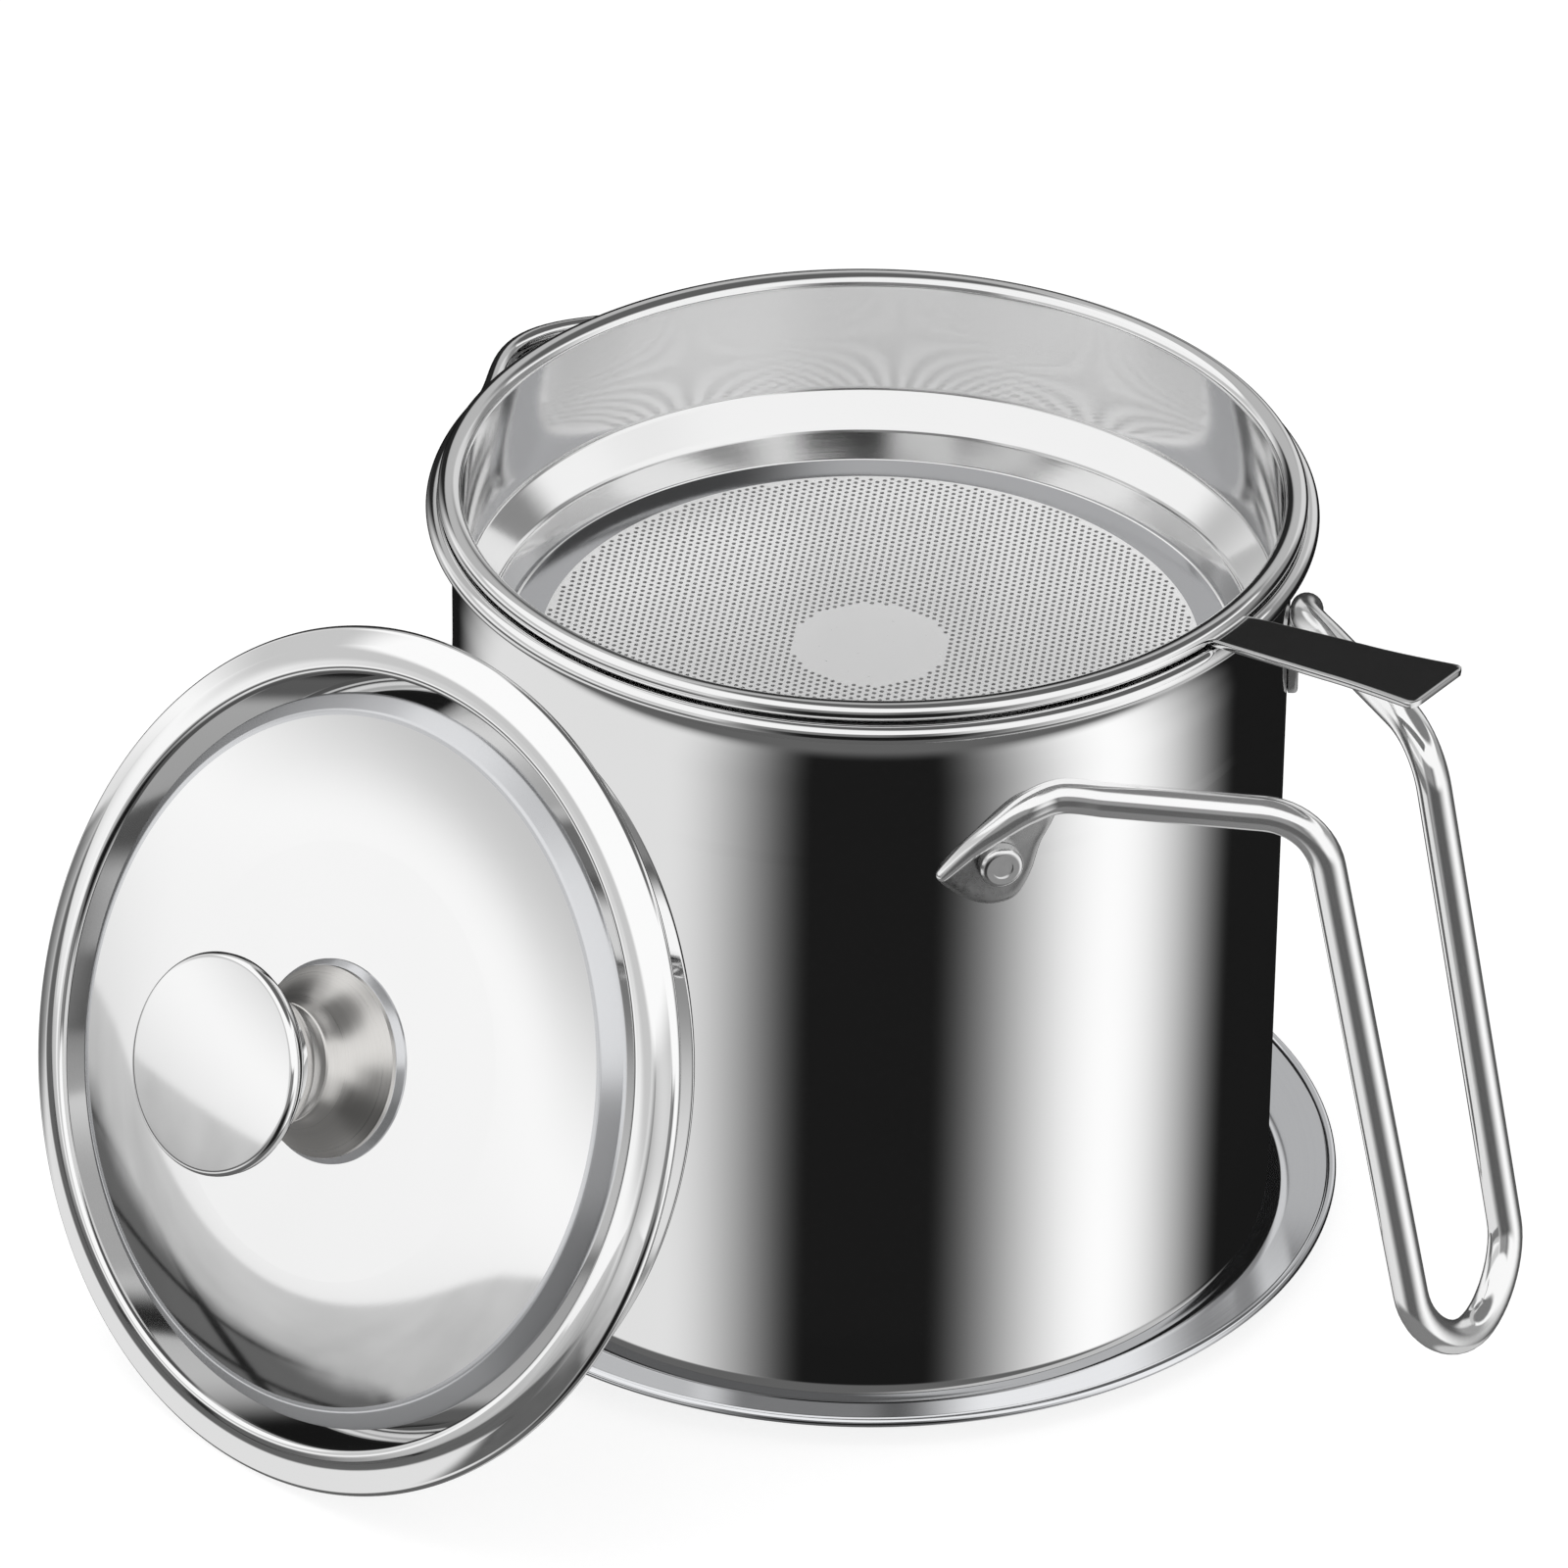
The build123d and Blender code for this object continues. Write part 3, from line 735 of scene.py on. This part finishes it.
sieve_frame = turned_piece("sieve_frame", sieve_ring(SIEVE_OUT_R + 0.6, SIEVE_R), 240)
sieve_island = turned_piece("sieve_island", sieve_ring(0, SIEVE_ISLAND_R - 0.5), 96)
# The margin ring takes the painted dark reflection.
dress(sieve_frame, margin_reflection_steel, "strainer", "sieve_steel", "sieve_disc")
dress(sieve_island, sieve_steel, "strainer", "sieve_steel")
for part in sieve_parts:
    dress(part, sieve_steel, "strainer", "sieve_steel")


def make_tab():
    """Thumb tab: flat at its root, then climbing and widening to rounded tip corners."""
    low = POT_RIM_Z + POT_BEAD + 0.3
    line = [(TAB_ROOT_X, low, 0), (62.4, low, 8.0), (TAB_TIP_X, low + 3.9, 0)]
    rail = bent_points(line, 2.0, 0.3)
    columns = 60
    rows = 14
    lengths = [0.0]
    for a, b in zip(rail, rail[1:]):
        lengths.append(lengths[-1] + math.dist(a, b))
    bpy.ops.mesh.primitive_grid_add(x_subdivisions=columns, y_subdivisions=rows, size=2)
    piece = bpy.context.object
    piece.name = "thumb_tab"
    for vertex in piece.data.vertices:
        along = (vertex.co.x + 1) / 2 * lengths[-1]
        for k in range(len(rail) - 1):
            if along <= lengths[k + 1] + 1e-9:
                break
        t = (along - lengths[k]) / max(lengths[k + 1] - lengths[k], 1e-9)
        x = rail[k][0] + (rail[k + 1][0] - rail[k][0]) * t
        z = rail[k][1] + (rail[k + 1][1] - rail[k][1]) * t
        if x < TAB_WAIST_X:
            half = 4.3 + 0.9 * (x - TAB_ROOT_X) / 20.7
        else:
            half = 5.2 + 1.4 * ((x - TAB_WAIST_X) / 15.6) ** 1.6
        left = lengths[-1] - along
        if left < TAB_CORNER:
            half -= TAB_CORNER - math.sqrt(max(TAB_CORNER**2 - (TAB_CORNER - left) ** 2, 0))
        vertex.co = Vector((x, vertex.co.y * half, z)) * MM
    solid = piece.modifiers.new("thickness", "SOLIDIFY")
    solid.thickness = TAB_SHEET * MM
    solid.offset = 1
    bpy.ops.object.modifier_apply(modifier=solid.name)
    roll = piece.modifiers.new("edge", "BEVEL")
    roll.width = 0.16 * MM
    roll.segments = 2
    roll.limit_method = "ANGLE"
    roll.angle_limit = math.radians(50)
    bpy.ops.object.modifier_apply(modifier=roll.name)
    bpy.ops.object.shade_smooth_by_angle(angle=math.radians(40))
    return piece


dress(make_tab(), tab_steel, "strainer", "polished_steel", "strainer_tab")

# ---------------------------------------------------------------- handle

RIDGE_SPOTS = ((-33.0, 100.7, 2.35), (-36.8, 98.0, 1.95), (-40.2, 95.0, 1.5), (-43.9, 90.6, 0.95))
LEAF_SPOTS = ((-44.2, 90.6), (-42.6, 87.9), (-39.4, 85.7), (-36.4, 85.1), (-33.8, 86.0), (-31.9, 89.4),
              (-30.6, 94.0), (-28.6, 98.4), (-30.2, 101.2), (-34.0, 100.6), (-39.4, 95.8))
CORNER = Vector((87.0, -13.2, 102.2))
CORNER_BEND = 9.5
LEG_END = Vector((105.0, -11.8, 29.0))


def on_wall(angle, z, radius):
    a = math.radians(angle)
    return Vector((radius * math.cos(a), radius * math.sin(a), z))


def curve_through(spots, at):
    """A point of the smooth open curve through the spots; at runs from 0 to their count less one."""
    k = min(int(at), len(spots) - 2)
    t = at - k
    before, low, high, after = (spots[min(max(k + n, 0), len(spots) - 1)] for n in (-1, 0, 1, 2))
    return (low * 2 + (high - before) * t + (before * 2 - low * 5 + high * 4 - after) * t**2
            + (low * 3 - high * 3 + after - before) * t**3) / 2


def half_rod():
    """(place, radius) along one arm, from the pressed tip to the middle of the grip's bottom bend."""
    root = on_wall(-28.6, 101.9, POT_R + ROD + 0.35)
    along_arm = (CORNER - root).normalized()
    along_leg = (LEG_END - CORNER).normalized()
    ridge = [on_wall(a, z, POT_R + size + 0.04) for a, z, size in reversed(RIDGE_SPOTS)]
    sizes = [size for _, _, size in reversed(RIDGE_SPOTS)] + [ROD, ROD]
    spots = ridge + [root, root + along_arm * 6.0]
    tip_way = (ridge[0] - ridge[1]).normalized()
    rail = []
    for k in range(1, 7):
        a = math.radians(15 * k)
        rail.append((spots[0] + tip_way * 0.95 * math.cos(a), max(0.95 * math.sin(a), 0.02)))
    steps = 10
    for k in range(1, (len(spots) - 1) * steps + 1):
        at = k / steps
        low = min(int(at), len(sizes) - 2)
        rail.append((curve_through(spots, at), sizes[low] + (sizes[low + 1] - sizes[low]) * (at - low)))
    bend = math.acos(along_arm.dot(along_leg))
    cut = CORNER_BEND * math.tan(bend / 2)
    arm_end = CORNER - along_arm * cut
    across = (along_leg - along_arm * along_arm.dot(along_leg)).normalized()
    rail.append((arm_end - along_arm * 0.5, ROD))
    for k in range(13):
        a = bend * k / 12
        rail.append((arm_end + along_arm * CORNER_BEND * math.sin(a)
                     + across * CORNER_BEND * (1 - math.cos(a)), ROD))
    down = Vector((along_leg.x, 0, along_leg.z)).normalized()
    bottom = Vector((LEG_END.x, 0, LEG_END.z)) - down * LEG_END.y
    chord = (bottom - LEG_END).length
    rail.append((LEG_END - along_leg * 0.5, ROD))
    for k in range(15):
        t = k / 14
        rail.append((LEG_END * (2 * t**3 - 3 * t**2 + 1) + along_leg * chord * (t**3 - 2 * t**2 + t)
                     + bottom * (3 * t**2 - 2 * t**3) + Vector((0, 1, 0)) * chord * (t**3 - t**2), ROD))
    return rail


def make_rod():
    near = half_rod()
    far = [(Vector((spot.x, -spot.y, spot.z)), size) for spot, size in reversed(near[:-1])]
    rail = near + far
    curve = bpy.data.curves.new("handle_bent_rod", "CURVE")
    curve.dimensions = "3D"
    curve.bevel_depth = MM
    curve.bevel_resolution = 10
    curve.use_fill_caps = True
    line = curve.splines.new("POLY")
    line.points.add(len(rail) - 1)
    for point, (spot, size) in zip(line.points, rail):
        point.co = (*(spot * MM), 1)
        point.radius = size
    piece = bpy.data.objects.new("handle_bent_rod", curve)
    bpy.context.scene.collection.objects.link(piece)
    bpy.ops.object.select_all(action="DESELECT")
    piece.select_set(True)
    bpy.context.view_layer.objects.active = piece
    bpy.ops.object.convert(target="MESH")
    piece = bpy.context.object
    edit(piece)
    finish_edit(40)
    return piece


def make_leaf(name, side):
    """Thin leaf pressed out of the rod's end: a soft-edged plate that follows the pot wall."""
    middle = sum((Vector(spot) for spot in LEAF_SPOTS), Vector((0, 0))) / len(LEAF_SPOTS)
    spots = [Vector(spot) for spot in LEAF_SPOTS]
    looped = spots + spots[:2]
    profile = [(0, 0), (0.5, 0), (0.95, 0), (1.0, 0.12), (1.0, 0.95), (0.985, 1.25), (0.95, 1.42),
               (0.9, 1.5), (0.78, 1.42), (0.62, 1.38), (0.3, 1.38), (0, 1.38)]

    def on_leaf(spot):
        share = math.hypot(spot.x, spot.y) / MM
        turn = (math.degrees(math.atan2(spot.y, spot.x)) % 360) / 360 * len(spots)
        edge = curve_through([spots[-1]] + looped, 1 + turn)
        place = middle + (edge - middle) * share
        point = on_wall(place.x, place.y, POT_R + 0.04 + spot.z / MM)
        return Vector((point.x, -point.y * side, point.z)) * MM

    return turned_piece(name, profile, 132, 50, on_leaf)


dress(make_rod(), rod_steel, "pot", "polished_steel", "handle_rod")
dress(make_leaf("handle_leaf_front", -1), leaf_steel, "pot", "polished_steel")
dress(make_leaf("handle_leaf_rear", 1), leaf_steel, "pot", "polished_steel")

# ---------------------------------------------------------------- lid

channel_in = PLUG_R - LID_SHEET - CHANNEL
lid_line = [
    (SCREW_HOLE_R, DOME_TOP, 0),
    (40.0, DOME_TOP, 130.0),
    (CREASE_R, CREASE_Z, 1.0),
    (channel_in, SHOULDER_Z, 1.0),
    (channel_in, -PLUG_DEPTH + LID_SHEET, 1.15),
    (channel_in + CHANNEL, -PLUG_DEPTH + LID_SHEET, 1.15),
    (channel_in + CHANNEL, 2.6, 1.1),
    (57.6, 2.3, 6.0),
    (LID_BEAD_R + 0.2, 0.75, 0),
]
side_way = Vector((-math.sin(LEAN_AZIMUTH), math.cos(LEAN_AZIMUTH), 0))
up_way = LID_AXIS.cross(side_way)
LEANING = (Matrix.Translation(Vector(LEAN_SPOT) * MM)
           @ Matrix((side_way, up_way, LID_AXIS)).transposed().to_4x4())


def lean(piece):
    piece.data.transform(LEANING)
    piece.data.update()
    return piece


def lid_outline():
    top = bent_points(lid_line, 4.0)
    under = bent_points(list(reversed(shifted(list(reversed(lid_line)), LID_SHEET))), 4.0)
    roll = arc_points((LID_BEAD_R, 0), LID_BEAD, 75, -215, 30)
    top = [p for p in top if p[0] < LID_BEAD_R]
    under = [p for p in under if p[0] < LID_BEAD_R - 0.7]
    return top + roll + list(reversed(under))


lid_upright = turned_piece("domed_lid", lid_outline(), 288, 50)
shoulder_faces = [face.index for face in lid_upright.data.polygons
                  if 48.9 * MM < math.hypot(face.center.x, face.center.y) < 52.2 * MM
                  and face.center.z > SHOULDER_Z * MM - 0.0003 and face.normal.z > 0]
channel_faces = [face.index for face in lid_upright.data.polygons
                 if (channel_in - 0.2) * MM < math.hypot(face.center.x, face.center.y) < (PLUG_R - 0.3) * MM
                 and (0.2 - PLUG_DEPTH) * MM < face.center.z < 2.2 * MM
                 and face.index not in shoulder_faces]
lid = dress(lean(lid_upright), lid_steel, "lid", "polished_steel", "lid_shell")
lid.data.materials.append(shoulder_steel)
lid.data.materials.append(channel_shade_steel)
for index in shoulder_faces:
    lid.data.polygons[index].material_index = 1
# The channel's faces take the darker base colour of painted shade.
for index in channel_faces:
    lid.data.polygons[index].material_index = 2

stem_base = DOME_TOP + FOOT_HEIGHT
foot_steps = ((SCREW_HOLE_R, 0), (14.4, 0), (14.5, 0.1), (14.5, 0.5), (14.4, 0.62), (13.7, 1.35),
              (13.55, FOOT_HEIGHT), (SCREW_HOLE_R, FOOT_HEIGHT))
foot = turned_piece("knob_foot_ring", [(r, DOME_TOP + z) for r, z in foot_steps], 128, 25)
dress(lean(foot), shoulder_steel, "lid", "polished_steel", "knob_foot")

FLARE_TABLE = ((0.7, 13.6), (3.0, 11.3), (5.6, 9.5), (NECK_Z - stem_base, NECK_R))
COLLAR_TABLE = ((GROOVE, NECK_R), (16.4 - NECK_Z, 9.1), (STEM_TOP - 0.6 - NECK_Z, COLLAR_R))


def stem_outline():
    flare = [(eased(FLARE_TABLE, 0.7 + 0.35 * k, 1), stem_base + 0.7 + 0.35 * k) for k in range(22)]
    collar = [(eased(COLLAR_TABLE, GROOVE + 0.35 * k, 1), NECK_Z + GROOVE + 0.35 * k) for k in range(13)]
    return ([(SCREW_HOLE_R, stem_base), (13.6, stem_base)] + flare
            + [(NECK_R, NECK_Z), (NECK_R - GROOVE, NECK_Z + GROOVE / 2)] + collar
            + [(COLLAR_R, STEM_TOP - 0.6), (COLLAR_R, STEM_TOP), (SCREW_HOLE_R, STEM_TOP)])


dress(lean(turned_piece("knob_stem_trumpet", stem_outline(), 128, 30)), stem_steel, "lid", "satin_steel",
      "knob_stem")


def head_outline():
    under = [(9.8, STEM_TOP + 0.9), (10.1, 22.4), (11.2, 23.6), (12.6, 24.5), (14.0, 25.2), (15.0, 26.0),
             (15.55, 26.9), (HEAD_R, HEAD_WIDEST)]
    roll = []
    for k in range(1, 10):
        a = math.radians(9 * k)
        roll.append((CAP_R + (HEAD_R - CAP_R) * math.cos(a),
                     HEAD_WIDEST + (CAP_Z - HEAD_WIDEST) * math.sin(a)))
    crown = []
    for k in range(13):
        share = 1 - k / 12
        crown.append((CAP_R * share, CAP_Z + CROWN * (1 - share * share)))
    return [(0, STEM_TOP), (9.8, STEM_TOP)] + under + roll + crown


dress(lean(turned_piece("knob_head_cap", head_outline(), 128, 40)), knob_steel, "lid", "polished_steel",
      "knob_head")

for node in ("knob_washer", "knob_screw"):
    cad = frame["nodes"][node]
    cad.data.materials.clear()
    cad.data.materials.append(screw_steel)
for node in ("rivet_front", "rivet_rear"):
    cad = frame["nodes"][node]
    cad.data.materials.clear()
    cad.data.materials.append(rivet_steel)

for piece in bpy.context.scene.objects:
    if piece.get("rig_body") in ("lid", "tray") or piece.name == "handle_bent_rod":
        piece.visible_glossy = False
